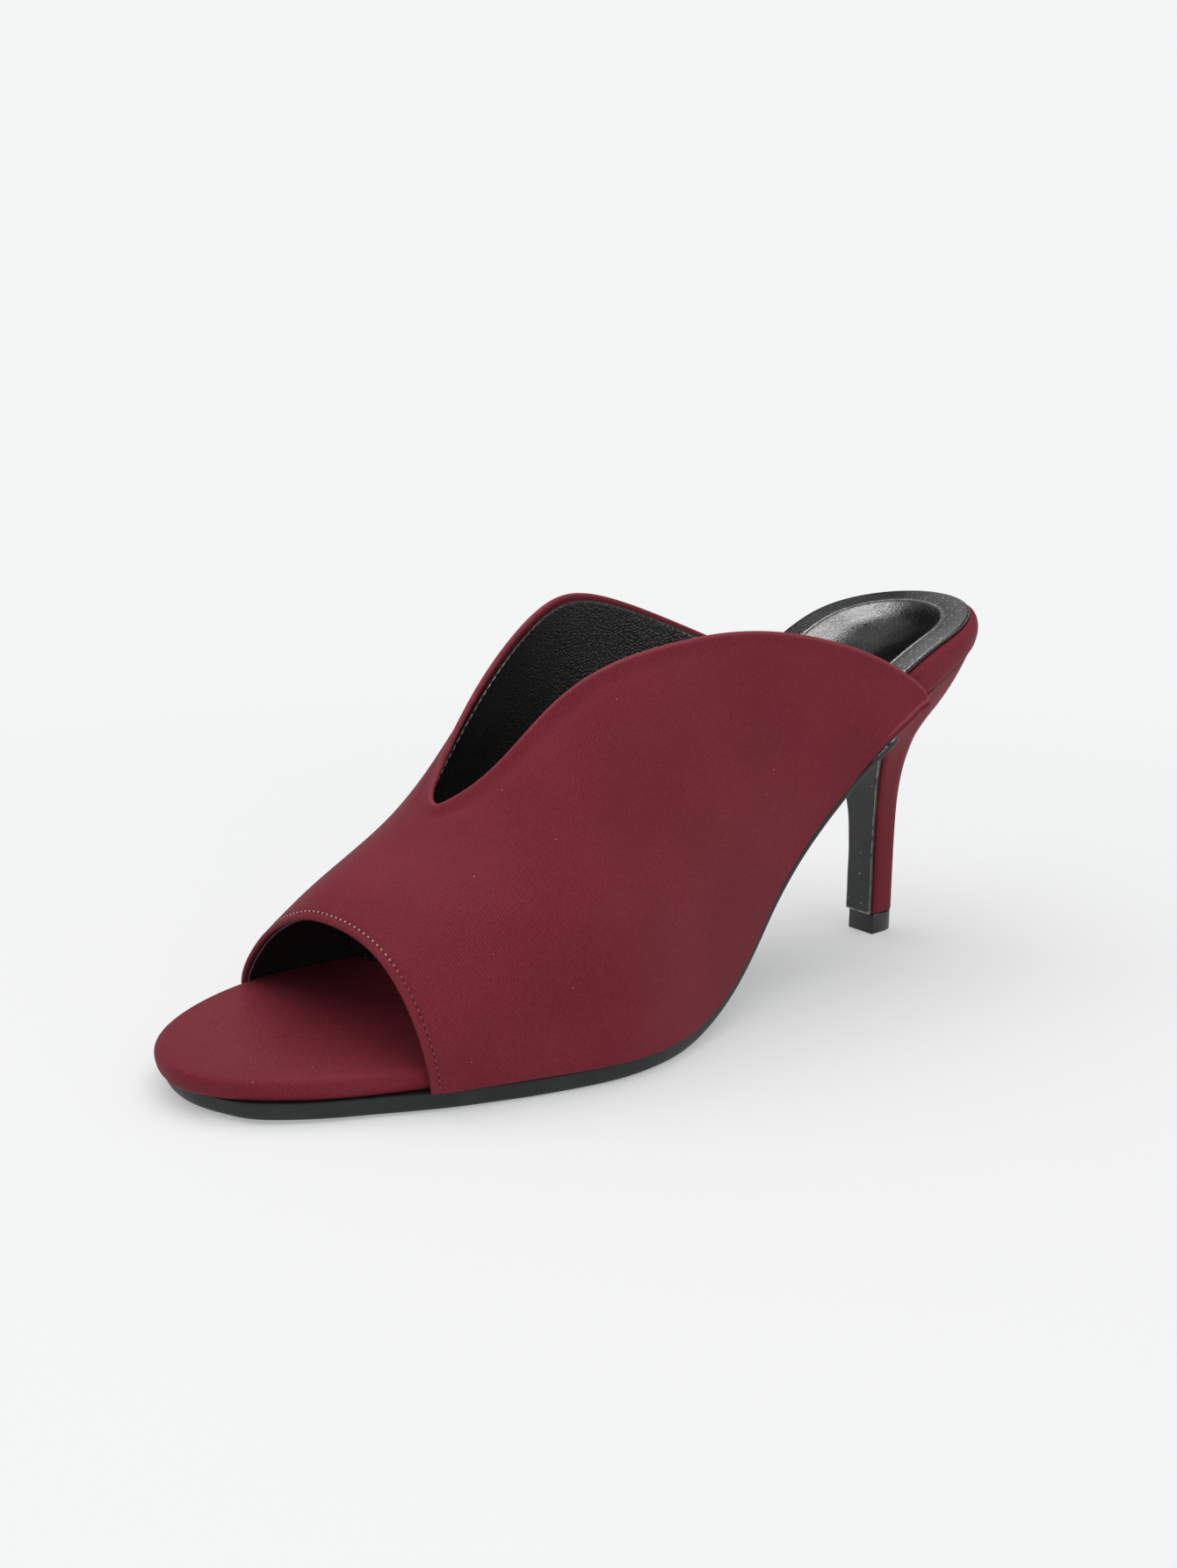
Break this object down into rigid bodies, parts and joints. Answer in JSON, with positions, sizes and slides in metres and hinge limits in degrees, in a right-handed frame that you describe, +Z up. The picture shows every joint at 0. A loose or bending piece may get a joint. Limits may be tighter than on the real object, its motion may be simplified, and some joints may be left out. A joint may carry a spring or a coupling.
{
  "type": "open-toe heeled mule",
  "caption": "Left open-toe mule in burgundy satin with a V-cut throat, black sock, thin black outsole and a slim covered heel.",
  "frame": {"origin": "middle of the shoe's footprint, on the floor", "axes": "-X to the toe, +X to the heel, -Y to the wearer's left (outer side), +Z up"},
  "size_m": [0.2196, 0.0864, 0.0933],
  "materials": {
    "burgundy_satin": "fine twill satin, soft sheen",
    "footbed_satin": "fine satin wrapped over the board",
    "black_sock": "pebbled glossy synthetic leather",
    "black_outsole": "matte",
    "heel_satin": "satin glued over a moulded heel",
    "breast_black": "semi-matte, rubbed at the edges",
    "top_piece_black": "glossy"
  },
  "bodies": {
    "root": {"upper": "burgundy_satin", "footbed": "footbed_satin", "sock": "black_sock", "outsole": "black_outsole", "heel": "heel_satin", "breast_sheet": "breast_black", "top_piece": "top_piece_black"}
  },
  "joints": []
}
